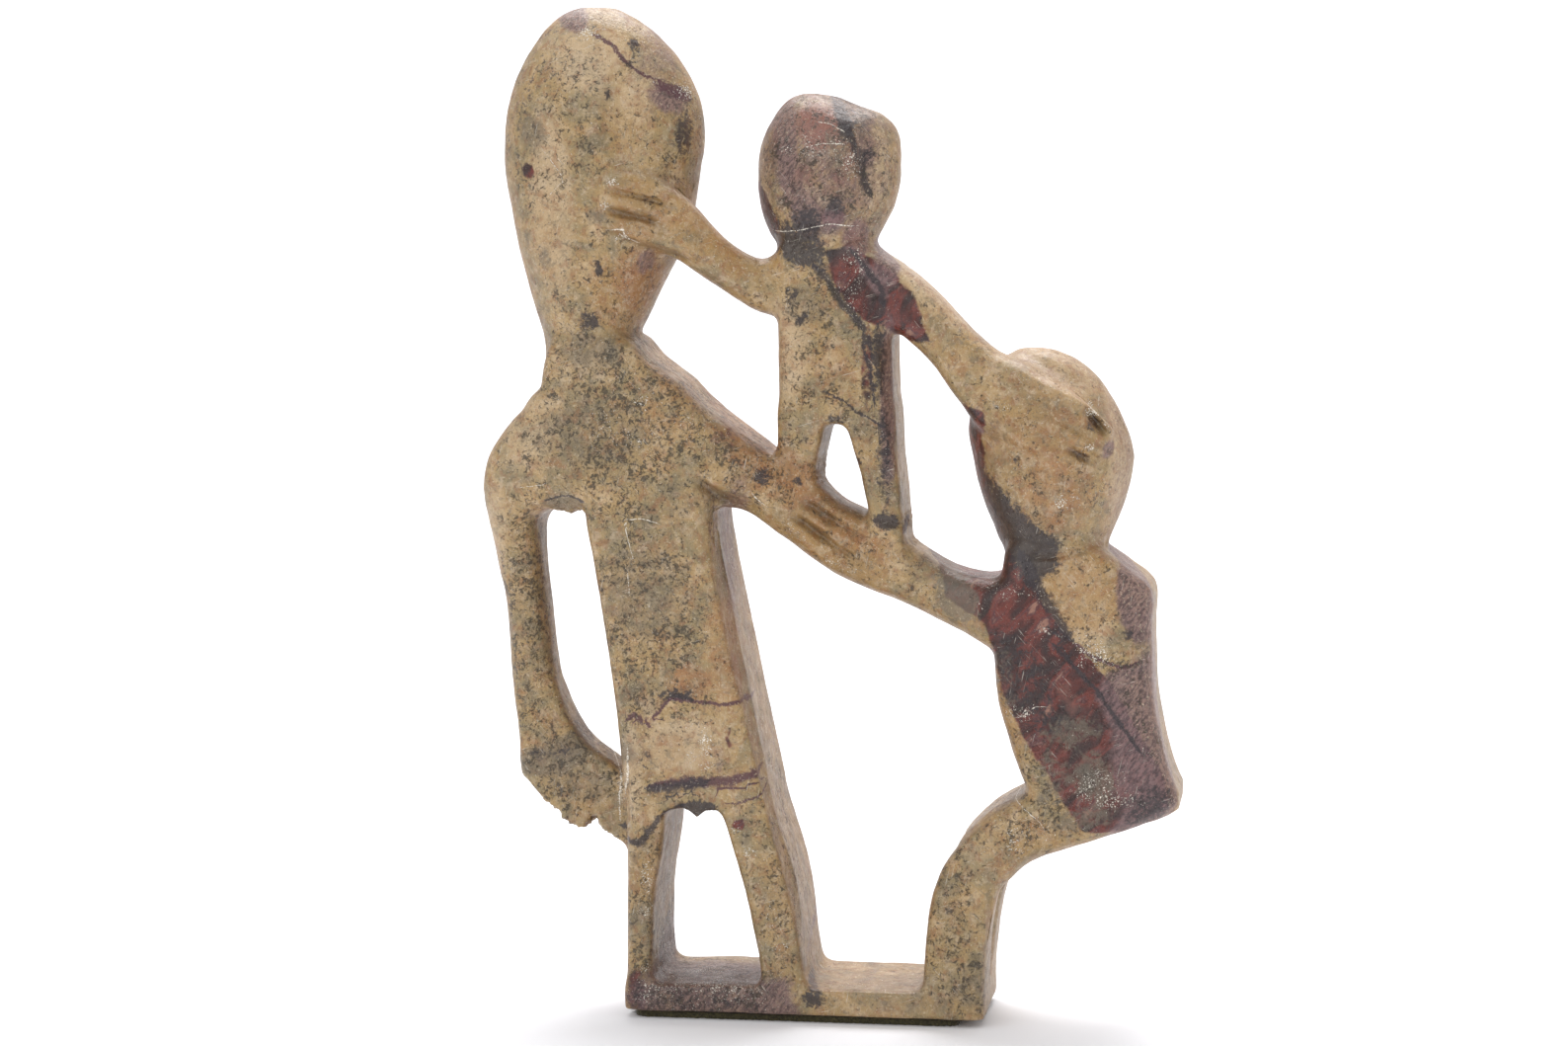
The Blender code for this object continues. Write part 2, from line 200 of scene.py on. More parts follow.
# Where the hand-cut outline strays from the sawn one: the place, the radius and the shift, all in pixels.
NUDGES = [
    # the tall figure
    ((706, 100), 48, (4, -1)), ((535, 60), 44, (3, 1)), ((640, 18), 34, (-1, 3)), ((709, 185), 30, (-3, 0)),
    ((514, 165), 34, (-2, 0)), ((668, 298), 42, (-3, -1)), ((674, 354), 26, (-4, 7)),
    ((541, 400), 18, (-4, -3)), ((488, 520), 44, (4, 0)), ((757, 520), 26, (2, -9)),
    ((790, 540), 20, (0, -3)), ((860, 583), 44, (0, 3)), ((812, 905), 44, (3, 0)), ((690, 860), 40, (2, 0)),
    ((520, 690), 60, (-3, 0)), ((548, 802), 20, (-4, 3)), ((664, 346), 20, (-4, 5)),
    ((735, 967), 50, (0, -3)), ((706, 822), 26, (0, -4)),
    # the child
    ((800, 104), 24, (-3, -4)), ((856, 98), 20, (0, 4)), ((902, 124), 30, (7, -3)),
    ((776, 215), 34, (-4, 0)), ((779, 256), 14, (0, -4)), ((894, 240), 20, (-4, 2)),
    ((850, 497), 22, (-2, 5)), ((838, 450), 18, (3, 0)), ((948, 325), 60, (3, -3)),
    # the kneeling figure
    ((1143, 415), 44, (-3, 1)), ((1040, 356), 26, (0, -3)), ((982, 440), 24, (-4, 0)),
    ((1023, 765), 38, (4, 0)), ((950, 900), 66, (-3, 0)), ((572, 514), 20, (0, -6)),
    ((1173, 600), 24, (3, 0)), ((1194, 828), 26, (4, 2)), ((1012, 950), 40, (2, 0)),
    ((1000, 560), 20, (-3, 0)),
]

# Teeth of stone left hanging where a piece broke away under an edge: the place and the half width in pixels,
# the drop and how far back it reaches in mm. Below zero, it starts that far back and goes right through.
TEETH = [
    ((706, 811), 15, 3.8, 6), ((722, 810), 6, 1.6, 5), ((604, 829), 6, 1.6, 9), ((572, 512), 22, 3.4, -3),
]

# Torn places: the middle in pixels, the half width and half height in pixels, the depth and the grain in mm.
TORN = [
    ((588, 825), (56, 36), 1.2, 1.6), ((706, 812), (22, 12), 0.8, 1.2), ((572, 513), (24, 10), 0.8, 1.4),
    ((906, 532), (20, 12), 0.6, 1.2), ((930, 551), (16, 8), 0.7, 1.4), ((828, 480), (14, 16), 0.5, 1.5),
    ((720, 970), (100, 8), 0.3, 1.5), ((918, 480), (8, 50), 0.5, 1.8), ((610, 180), (10, 10), 0.5, 1.0),
]

# Forms that stand proud of the front: the outline in pixels, the height in mm and the softness in pixels.
RAISED = [
    # the hand on the tall figure's head
    ([(604, 192), (612, 174), (640, 171), (662, 175), (688, 183), (706, 206), (706, 262), (684, 259),
      (662, 251), (644, 247), (628, 239), (604, 226)], 1.2, 5),
]

# Strokes of the chisel on the front: the route in pixels, the width and the depth in mm. A depth below zero
# is a ridge left standing.
CHISEL_STROKES = [
    # the hand on the tall figure's head
    ([(622, 172), (640, 173), (661, 175), (687, 183), (704, 205)], 2.6, 0.9),
    ([(616, 192), (642, 198), (664, 204), (682, 211)], 2.6, 1.1),
    ([(606, 210), (628, 215), (651, 221), (676, 232)], 3.8, 1.5),
    ([(640, 226), (665, 234), (684, 240)], 2.2, 0.6),
    ([(624, 234), (634, 242), (645, 248), (664, 252), (685, 259), (700, 268)], 2.8, 1.2),
    ([(612, 203), (640, 208), (664, 214)], 2.2, -0.5),
    ([(618, 184), (650, 188), (680, 198)], 2.4, -0.4),
    ([(690, 196), (716, 232), (738, 258)], 3.0, -0.5),
    # the hand on the kneeling figure's head
    ([(1008, 362), (1030, 374), (1052, 387), (1080, 399), (1106, 410)], 9.0, -1.1),
    ([(1026, 356), (1050, 371), (1080, 385), (1112, 398)], 8.0, 1.0),
    ([(1004, 428), (1040, 448), (1072, 466)], 6.0, -0.6),
    ([(1002, 441), (1036, 460), (1066, 476)], 5.0, 0.6),
    ([(1096, 412), (1104, 421), (1112, 431), (1120, 441)], 3.6, 2.2),
    ([(1107, 411), (1117, 424), (1126, 438)], 3.0, -0.9),
    ([(1120, 414), (1131, 430), (1137, 448)], 4.0, 0.7),
    ([(1082, 438), (1100, 449), (1120, 463)], 4.4, -0.9),
    ([(1068, 424), (1086, 434), (1104, 446)], 2.8, 0.9),
    ([(1080, 452), (1092, 461), (1103, 470)], 3.8, 1.6),
    ([(1110, 447), (1120, 456), (1126, 464)], 2.6, 0.9),
    # the crease between the kneeling figure's head and body
    ([(1040, 566), (1070, 564), (1093, 559), (1126, 551)], 3.4, 0.9),
    # the joined hands
    ([(808, 509), (822, 516), (837, 526), (848, 534)], 4.2, 1.9),
    ([(837, 526), (848, 534), (862, 543), (879, 550)], 2.4, 1.1),
    ([(797, 523), (812, 532), (827, 543), (840, 553)], 4.2, 1.8),
    ([(827, 543), (840, 553), (854, 562), (872, 571)], 2.6, 1.1),
    ([(815, 522), (832, 535), (856, 548), (872, 558)], 2.4, -0.6),
    ([(841, 552), (843, 566)], 2.0, 1.0),
    # the lower edge of the tall figure's right arm, where it runs out onto the chest
    ([(692, 466), (712, 480), (730, 492), (752, 508)], 5.0, -1.0),
    ([(704, 484), (716, 496), (728, 506), (742, 512)], 5.0, 2.2),
    ([(712, 496), (722, 520), (728, 560), (738, 610)], 7.0, 1.0),
    # the edge of the hip, left sharp above the hand
    ([(648, 700), (644, 760), (641, 820), (639, 868)], 3.0, -0.5),
    ([(633, 775), (632, 845)], 3.0, 0.7),
    # the edge between the child's neck and shoulder
    ([(828, 238), (850, 246), (872, 240)], 3.0, 0.8),
    # the slit behind the child's leg
    ([(911, 468), (915, 484), (921, 504)], 2.2, 1.6),
    ([(888, 526), (902, 534), (918, 536)], 3.0, 0.9),
    # folds of the kneeling figure's arm and lap
    ([(1040, 800), (1075, 822), (1120, 834)], 6.0, 0.5),
    # the groove down the kneeling figure's shin
    ([(1001, 884), (1002, 940), (1002, 1004)], 2.4, 1.0),
]

# Front edges rubbed round: the route in pixels, the width and the depth in mm.
WORN_EDGES = [
    ([(722, 500), (742, 590), (760, 670), (784, 770), (810, 880), (834, 980)], 12, 2.2),
    ([(660, 345), (690, 372), (730, 405), (775, 455)], 8, 1.4),
    ([(706, 500), (735, 505), (790, 545), (840, 590)], 7, 1.0),
    ([(893, 330), (900, 400), (906, 470)], 6, 0.9),
]

# Flats left by the rasp: the middle in pixels, the half width and half height in mm, how far the flat leans
# to the left and up, and how far it cuts in, in mm.
RASP_FLATS = [
    ((568, 215), (9, 34), (-0.42, 0.05), 0.9),
    ((655, 120), (14, 24), (0.06, 0.10), 0.6),
    ((1060, 520), (12, 14), (0.0, -0.12), 0.5),
    ((800, 180), (7, 14), (-0.45, 0.0), 0.6),
    ((888, 170), (7, 16), (0.42, 0.05), 0.6),
]


def route_on_face(pixels):
    """The route's points as x and z in metres."""
    return [np.array((p.x, p.z)) for p in (on_face(*pixel) for pixel in pixels)]


def soft(share):
    """A share from 0 to 1, eased at both ends."""
    return share * share * (3 - 2 * share)


def distance_to_route(points, route):
    """For each point: its distance to the route, how far along it is from 0 to 1, and its side, 1 or -1."""
    lengths = [np.linalg.norm(b - a) for a, b in zip(route, route[1:])]
    total, run = sum(lengths), 0
    nearest = np.full(len(points), np.inf)
    along = np.zeros(len(points))
    side = np.ones(len(points))
    for a, b, length in zip(route, route[1:], lengths):
        step = (b - a) / length
        t = np.clip((points - a) @ step, 0, length)
        off = points - a - t[:, None] * step
        gap = np.linalg.norm(off, axis=1)
        closer = gap < nearest
        nearest[closer] = gap[closer]
        along[closer] = (run + t[closer]) / total
        side[closer] = np.where(off[closer, 0] * step[1] > off[closer, 1] * step[0], 1, -1)
        run += length
    return nearest, along, side


def depth_inside(points, outline):
    """How far inside the outline each point is. Outside it, the value is below zero."""
    edge_gap = distance_to_route(points, outline + outline[:1])[0]
    inside = np.zeros(len(points), dtype=bool)
    for a, b in zip(outline, outline[1:] + outline[:1]):
        spans = (a[1] > points[:, 1]) != (b[1] > points[:, 1])
        with np.errstate(divide="ignore", invalid="ignore"):
            crossing = a[0] + (points[:, 1] - a[1]) * (b[0] - a[0]) / (b[1] - a[1])
        inside ^= spans & (points[:, 0] < crossing)
    return np.where(inside, edge_gap, -edge_gap)


def skin_points(skin):
    """The place and the normal of each of the skin's points."""
    place, normal = np.empty((2, len(skin.data.vertices) * 3))
    skin.data.vertices.foreach_get("co", place)
    skin.data.vertex_normals.foreach_get("vector", normal)
    return place.reshape(-1, 3), normal.reshape(-1, 3)


def along_stroke(place, pixels, width, taper):
    """For each point: how much a stroke of that width reaches it, and how full the stroke is there."""
    gap, along, _ = distance_to_route(place[:, [0, 2]], route_on_face(pixels))
    reach = np.clip(1 - (gap / (width / 2000)) ** 2, 0, 1) ** 2
    return reach, np.clip(np.minimum(along, 1 - along) * taper, 0, 1)


def pixels_from(place, pixel):
    """How far each point lies to the right of that pixel and above it, in pixels."""
    at = on_face(*pixel)
    return (place[:, 0] - at.x) * PIXELS_PER_METRE, (place[:, 2] - at.z) * PIXELS_PER_METRE


def finish_with(piece, kind, **settings):
    """Applies one modifier, with its settings, to the active piece."""
    modifier = piece.modifiers.new(kind, kind)
    for setting, value in settings.items():
        setattr(modifier, setting, value)
    bpy.ops.object.modifier_apply(modifier=modifier.name)


def ruffle(piece, width, height, middle):
    """Pushes the active piece's skin in and out in soft lumps of that width."""
    lumps = bpy.data.textures.new(piece.name + "_lumps", "CLOUDS")
    lumps.noise_scale = width
    finish_with(piece, "DISPLACE", texture=lumps, texture_coords="LOCAL", strength=height, mid_level=middle)


def stone_skin():
    """A copy of the CAD solid with a fine, even skin."""
    deselect_all()
    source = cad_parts["stone_carving"]
    skin = bpy.data.objects.new("soapstone_family", source.data.copy())
    bpy.context.scene.collection.objects.link(skin)
    skin.data.materials.clear()
    bpy.context.view_layer.objects.active = skin
    skin.select_set(True)
    switch("EDIT")
    bpy.ops.mesh.select_all(action="SELECT")
    bpy.ops.mesh.remove_doubles(threshold=WELD)
    switch("OBJECT")
    finish_with(skin, "REMESH", mode="VOXEL", voxel_size=SKIN_VOXEL)
    finish_with(skin, "SMOOTH", iterations=SKIN_PASSES)
    return skin


def write_places(skin, place):
    """Moves the skin's points to those places."""
    skin.data.vertices.foreach_set("co", place.ravel())
    skin.data.update()


def nudge_outline(place, _):
    """Shifts the outline right through the slab."""
    for middle, radius, (right, down) in NUDGES:
        gap = np.hypot(*pixels_from(place, middle)) / radius
        share = np.clip(1 - (gap / NUDGE_FADE) ** 2, 0, 1) ** 2
        place[:, 0] += share * right / PIXELS_PER_METRE
        place[:, 2] -= share * down / PIXELS_PER_METRE


def hang_teeth(place, normal):
    """Draws each tooth down out of the edge above it, longest at the front."""
    for middle, half_width, drop, back in TEETH:
        right, up = pixels_from(place, middle)
        across = np.abs(right) / half_width
        level = np.abs(up) / PIXELS_PER_METRE * 1000 / 2.5
        front = place[(across < 1) & (level < 1), 1].min()
        behind = (place[:, 1] - front) * 1000 / abs(back)
        reach = np.clip(1.2 - behind, 0, 1) if back > 0 else np.clip(behind - 0.4, 0, 1)
        share = np.clip(1 - across, 0, 1) * reach * np.clip(1.5 - level, 0, 1)
        place[:, 2] -= np.where(normal[:, 2] < 0.1, share, 0) * drop / 1000


def tear(place, normal):
    """Roughens each torn place, in and out along its normals."""
    for middle, (half_width, half_height), depth, grain in TORN:
        right, up = pixels_from(place, middle)
        share = np.clip(1 - (right / half_width) ** 2 - (up / half_height) ** 2, 0, 1) ** 0.5
        for k in np.nonzero(share)[0]:
            rough = turbulence(Vector(place[k]) * 1000 / grain, 3, False) * depth / 1000
            place[k] += normal[k] * rough * share[k] * (1 if abs(normal[k][1]) < 0.6 else 0.35)


def cut_flats(place, normal):
    """Presses each rasp flat into the front of the stone."""
    for middle, (half_width, half_height), (lean_x, lean_z), depth in RASP_FLATS:
        at = on_face(*middle)
        u = (place[:, 0] - at.x) / (half_width / 1000)
        w = (place[:, 2] - at.z) / (half_height / 1000)
        reach = np.clip(1 - (u**2 + w**2) ** 2, 0, 1)
        near = (reach > 0) & (place[:, 1] < 0) & (normal[:, 1] < 0.1)
        facing_out = np.array((lean_x, -1, lean_z)) / math.hypot(lean_x, 1, lean_z)
        core = near & (u**2 + w**2 < 0.04)
        level = np.median(place[core] @ facing_out) - depth / 1000
        over = place @ facing_out - level
        cut = near & (over > 0)
        place[cut] -= facing_out * (over * reach)[cut][:, None]


def wear_edges(place, normal):
    """Rubs the front edges down along their own normals."""
    for pixels, width, depth in WORN_EDGES:
        gap, along, _ = distance_to_route(place[:, [0, 2]], route_on_face(pixels))
        front = np.quantile(place[gap < width / 2000, 1], 0.05)
        back = (place[:, 1] - front) * 1000 / width
        reach = np.clip(1 - (gap / (width / 2000)) ** 2 - back**2 * 2, 0, 1)
        ends = np.clip(np.minimum(along, 1 - along) * 6, 0, 1)
        place -= normal * (reach * ends * (place[:, 1] < 0) * depth / 1000)[:, None]


def raise_forms(place, normal):
    """Leaves each raised form standing on the front."""
    for outline, height, softness in RAISED:
        depth = depth_inside(place[:, [0, 2]], route_on_face(outline)) * PIXELS_PER_METRE
        lift = soft(np.clip(0.5 + depth / (2 * softness), 0, 1))
        front = (normal[:, 1] < FRONT) & (place[:, 1] < 0)
        place[:, 1] -= np.where(front, lift * height / 1000, 0)


def chisel(place, normal):
    """Cuts each chisel stroke into the front, or leaves it standing where its depth is below zero."""
    for pixels, width, depth in CHISEL_STROKES:
        reach, ends = along_stroke(place, pixels, width, 4)
        front = (normal[:, 1] < FRONT) & (place[:, 1] < 0)
        place[:, 1] += np.where(front, reach * ends**0.7 * depth / 1000, 0)


def finish_skin(skin):
    """Adds the low waves of hand rubbing, then thins the skin where it is flat."""
    ruffle(skin, RASP_WAVE, RASP_DEPTH, 0.6)
    write_places(skin, np.clip(skin_points(skin)[0], *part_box("stone_carving")))
    triangles = sum(len(face.vertices) - 2 for face in skin.data.polygons)
    finish_with(skin, "DECIMATE", ratio=min(1, SKIN_TRIANGLES / triangles), use_collapse_triangulate=True)
    bpy.ops.object.shade_smooth()


stone = stone_skin()
for shape in (nudge_outline, wear_edges, cut_flats, raise_forms, chisel, hang_teeth, tear):
    stone_places, stone_normals = skin_points(stone)
    shape(stone_places, stone_normals)
    write_places(stone, stone_places)
finish_skin(stone)

# How the colours lie in the slab: each stain runs back through the stone at a slant, so that the back isn't a
# mirror of the front.
SLANT_X, SLANT_Z = 0.35, -0.30

# Round stains by colour, with spots of painted light among them where noted: the middle, the half width and
# the half height in pixels, the strength and, where there is one, the turn in degrees, anticlockwise.
STAINS_AND_PAINTED_LIGHT = {
    # painted highlights among the cream: the tall figure's head top (610, 22) and left edge (506, 560), the
    # child's head top edge (845, 102) and arm top (952, 300), the kneeling figure's hand ridge (1085, 392)
    # and right side of its head (1146, 470)
    "cream": [
        (560, 210, 24, 110, 0.75, 3), (640, 90, 45, 40, 0.6), (600, 60, 50, 40, 0.7), (610, 22, 60, 22, 0.7),
        (535, 440, 34, 50, 0.6, -20), (690, 755, 50, 34, 0.75), (640, 780, 12, 60, 0.7),
        (650, 190, 40, 60, 0.3), (800, 360, 26, 56, 0.8), (1085, 392, 50, 18, 0.7, -20),
        (952, 300, 54, 20, 1.0, -45), (1095, 610, 34, 50, 0.9, 20), (1030, 700, 14, 60, 0.6, 8),
        (720, 400, 60, 10, 0.6, -38), (905, 1020, 60, 12, 0.4), (700, 300, 20, 40, 0.4, -30),
        (730, 235, 60, 12, 0.6, -32), (1090, 360, 60, 18, 0.5), (668, 880, 8, 60, 0.5),
        (1000, 860, 50, 16, 0.4, 40), (777, 190, 9, 60, 1.0), (830, 200, 22, 6, 0.8, -45),
        (893, 178, 18, 46, 0.7), (845, 102, 50, 8, 0.7), (843, 249, 10, 9, 0.9), (506, 560, 12, 90, 0.6),
        (1040, 455, 50, 12, 0.5, -28), (1146, 470, 18, 90, 0.9), (920, 300, 14, 14, 0.6),
    ],
    "ochre": [
        (640, 300, 50, 45, 0.9), (560, 250, 30, 60, 0.4), (630, 130, 50, 45, 0.4), (690, 770, 75, 36, 0.5),
        (600, 825, 40, 20, 0.5, -20), (660, 880, 26, 45, 0.6), (785, 880, 20, 70, 0.5),
        (900, 1010, 75, 18, 0.35), (960, 940, 25, 60, 0.4), (820, 350, 36, 60, 0.4), (880, 470, 25, 50, 0.4),
        (730, 245, 90, 35, 0.7, -30), (975, 340, 60, 40, 0.5, -45), (780, 490, 90, 40, 0.5, -35),
        (850, 560, 70, 32, 0.9, -30), (1060, 450, 70, 100, 0.6), (1095, 600, 45, 42, 1.0, 10),
        (1022, 700, 14, 90, 0.9, 8), (1060, 850, 70, 22, 0.5, 15), (645, 210, 40, 40, 0.7),
    ],
    "orange": [
        (690, 400, 55, 50, 0.5), (735, 660, 25, 70, 0.6, 10), (700, 690, 30, 25, 0.7),
        (790, 480, 90, 30, 0.7, -35), (650, 290, 30, 40, 0.7), (865, 545, 60, 22, 0.6, -30),
        (600, 320, 30, 40, 0.3), (1060, 445, 50, 40, 0.5), (1100, 585, 40, 30, 0.4), (1070, 505, 50, 50, 0.6),
        (700, 360, 30, 30, 0.6), (770, 650, 8, 80, 0.5, 12), (645, 850, 20, 50, 0.3), (800, 960, 20, 40, 0.4),
        (735, 245, 60, 20, 0.5, -30), (845, 370, 20, 40, 0.5), (650, 225, 40, 25, 0.5),
        (690, 900, 20, 40, 0.3),
    ],
    "grey": [
        (542, 140, 14, 19, 0.75), (600, 440, 70, 50, 0.5), (650, 600, 56, 60, 0.6), (545, 650, 24, 100, 0.45),
        (600, 770, 50, 16, 1.0, 14), (560, 788, 40, 16, 1.0, 5), (590, 812, 44, 20, 0.6, -10),
        (655, 940, 26, 38, 0.5), (788, 905, 18, 30, 0.4), (797, 160, 12, 52, 0.6, 6), (880, 128, 18, 20, 0.8),
        (920, 1012, 60, 14, 0.5), (1070, 520, 40, 50, 0.4), (870, 450, 30, 60, 0.4),
        # (572, 514) is painted shade under the lump at the top of the opening
        (955, 900, 22, 40, 0.4, 20), (602, 219, 12, 9, 0.7), (572, 514, 22, 9, 1.0), (700, 985, 90, 9, 0.7),
        (560, 780, 50, 40, 0.4), (690, 510, 40, 40, 0.4), (820, 320, 26, 20, 0.6), (985, 1000, 25, 30, 0.6),
        (600, 360, 35, 20, 0.7), (1130, 800, 28, 26, 0.8), (555, 268, 7, 15, 0.7), (655, 705, 24, 22, 0.5),
        (940, 585, 26, 20, 0.5, -30), (880, 500, 16, 40, 0.4),
    ],
    "moss": [
        (972, 612, 20, 26, 1.0, 10), (1083, 742, 28, 15, 0.65, 10), (1070, 800, 12, 30, 0.5, -30),
        (1108, 790, 20, 26, 0.8, 20), (1095, 832, 34, 12, 0.7, 15), (850, 150, 10, 30, 0.4, 10),
        (1060, 775, 8, 20, 0.5, -20), (1020, 690, 10, 30, 0.4, 10),
    ],
    "lavender": [
        (640, 18, 70, 22, 0.4), (587, 28, 15, 13, 1.0), (680, 60, 30, 40, 0.5, -40), (840, 165, 74, 78, 0.62),
        (822, 222, 16, 26, 1.0, 20), (854, 186, 14, 34, 0.6), (842, 226, 20, 20, 0.8),
        (874, 248, 16, 18, 1.0), (886, 166, 8, 12, 0.8), (888, 288, 8, 24, 0.9, 35),
        (905, 276, 16, 24, 0.9, -35), (905, 420, 10, 90, 0.9), (1150, 470, 14, 110, 0.4),
        (1128, 462, 9, 10, 0.8), (1155, 610, 22, 38, 1.0), (1160, 735, 32, 80, 1.0, -10),
        (700, 1005, 80, 26, 0.8), (768, 1016, 26, 11, 1.0), (880, 985, 60, 8, 0.7), (658, 272, 12, 16, 0.7),
        (680, 108, 24, 12, 0.9, -30), (750, 560, 16, 90, 0.6), (1190, 800, 14, 24, 0.5),
        (728, 770, 7, 20, 0.4),
    ],
    "rose": [
        (834, 134, 24, 20, 1.0), (818, 180, 20, 12, 0.45, 30), (872, 244, 16, 20, 0.5),
        (856, 180, 10, 30, 0.5, -25), (640, 12, 80, 16, 0.25), (748, 600, 10, 120, 0.4),
        (700, 985, 90, 8, 0.4), (1010, 455, 8, 40, 0.4),
    ],
    # glints: painted highlights, white flecks where light would glance off the waxed stone
    "glints": [
        (715, 753, 9, 13, 0.9), (700, 768, 6, 9, 0.7), (713, 776, 9, 6, 0.8), (757, 862, 6, 10, 0.9),
        (745, 838, 12, 7, 0.7), (634, 812, 3, 40, 0.8), (1105, 655, 30, 14, 0.7, -20),
        (1032, 722, 18, 8, 0.8), (838, 150, 36, 14, 0.4), (866, 174, 12, 20, 0.5), (806, 156, 12, 5, 0.7),
        (817, 142, 4, 8, 0.7), (631, 240, 8, 5, 0.8, 20), (604, 42, 14, 7, 0.9), (700, 104, 16, 8, 0.8, -30),
        (1130, 812, 26, 8, 0.8), (1076, 510, 8, 9, 0.9), (1093, 508, 6, 4, 0.9), (1108, 418, 8, 6, 1.0),
        (1104, 453, 6, 4, 0.9), (868, 285, 12, 30, 0.6), (619, 182, 7, 5, 1.0), (611, 206, 5, 6, 1.0),
        (1058, 636, 5, 6, 1.0), (1030, 600, 36, 8, 0.5), (820, 560, 60, 10, 0.4, -30),
        (655, 430, 60, 30, 0.35), (1015, 412, 8, 5, 0.8), (700, 980, 60, 6, 0.7), (700, 1005, 80, 20, 0.5),
        (900, 985, 50, 5, 0.6), (655, 900, 8, 50, 0.5), (1040, 850, 30, 20, 0.5), (1110, 800, 30, 20, 0.7),
        (790, 940, 20, 40, 0.4), (1100, 350, 30, 30, 0.3),
    ],
    "maroon": [
        (780, 216, 5, 24, 0.7, 15), (846, 224, 16, 12, 0.7, -30), (820, 182, 8, 16, 0.4, 25),
        (882, 380, 8, 60, 0.5), (537, 178, 6, 9, 0.8), (748, 834, 7, 6, 0.9), (645, 1005, 12, 30, 0.6),
        (738, 745, 5, 16, 0.5), (735, 445, 22, 14, 0.4), (1140, 812, 24, 22, 0.8),
        (1095, 712, 24, 16, 1.0, -20), (1126, 398, 6, 6, 0.3), (690, 1000, 30, 14, 0.4),
        (742, 640, 8, 60, 0.3), (1112, 880, 30, 8, 0.3, 20),
    ],
    "charcoal": [
        (699, 148, 10, 24, 0.6), (696, 104, 12, 6, 0.6, -25), (1046, 586, 8, 14, 0.9, -25),
        (860, 126, 8, 20, 1.0, 5), (798, 240, 14, 12, 0.6), (820, 230, 14, 16, 0.8), (848, 212, 12, 10, 0.6),
        (720, 973, 50, 10, 0.45), (822, 1008, 11, 9, 0.8), (880, 128, 12, 12, 0.35), (886, 166, 8, 10, 0.45),
        # (930, 551) is painted shade in the slit behind the child's foot
        (903, 536, 14, 8, 1.0, -15), (930, 551, 9, 6, 1.0, -30), (700, 1005, 80, 22, 0.3),
        (775, 487, 10, 8, 0.7), (812, 258, 26, 16, 0.85, -30), (805, 303, 8, 9, 0.7), (816, 329, 7, 6, 0.8),
        (1165, 815, 26, 16, 0.5, 20), (600, 330, 12, 9, 0.6), (900, 470, 8, 50, 0.5), (895, 370, 8, 40, 0.7),
        # (1110, 430) and (1099, 465) are painted shade in the recess and notch between the kneeling figure's
        # fingers
        (707, 818, 18, 8, 1.0), (1110, 430, 8, 9, 0.6, -40), (1099, 465, 9, 5, 0.5, -30),
        (987, 424, 5, 9, 0.8), (607, 275, 5, 8, 0.9), (617, 98, 3, 3, 1.0), (648, 54, 5, 5, 0.8),
        (724, 530, 8, 30, 0.3, 5), (560, 780, 26, 7, 0.4, 8), (655, 770, 10, 14, 0.3), (1030, 470, 4, 4, 0.9),
        (1143, 641, 6, 5, 0.9), (870, 478, 9, 5, 0.9, 20), (685, 703, 18, 6, 0.7, 5), (850, 432, 10, 6, 0.6),
        (812, 495, 5, 5, 0.7),
    ],
    "specks": [
        (630, 430, 110, 90, 1.0), (660, 640, 60, 110, 0.8), (540, 650, 36, 160, 0.85),
        (590, 790, 60, 50, 0.8), (690, 150, 40, 40, 0.7), (840, 180, 75, 80, 0.8), (830, 350, 60, 90, 0.6),
        (700, 1000, 90, 50, 1.0), (660, 920, 40, 90, 0.7), (790, 900, 40, 100, 0.6),
        (760, 460, 80, 50, 0.8, -30), (1090, 740, 90, 110, 0.6), (960, 920, 40, 90, 0.6),
        (1050, 830, 80, 40, 0.7), (985, 1000, 40, 40, 0.8), (600, 340, 50, 50, 0.6), (560, 130, 60, 90, 0.55),
        (620, 290, 60, 60, 0.5), (1080, 500, 50, 60, 0.35), (870, 560, 90, 30, 0.4, -30),
    ],
}

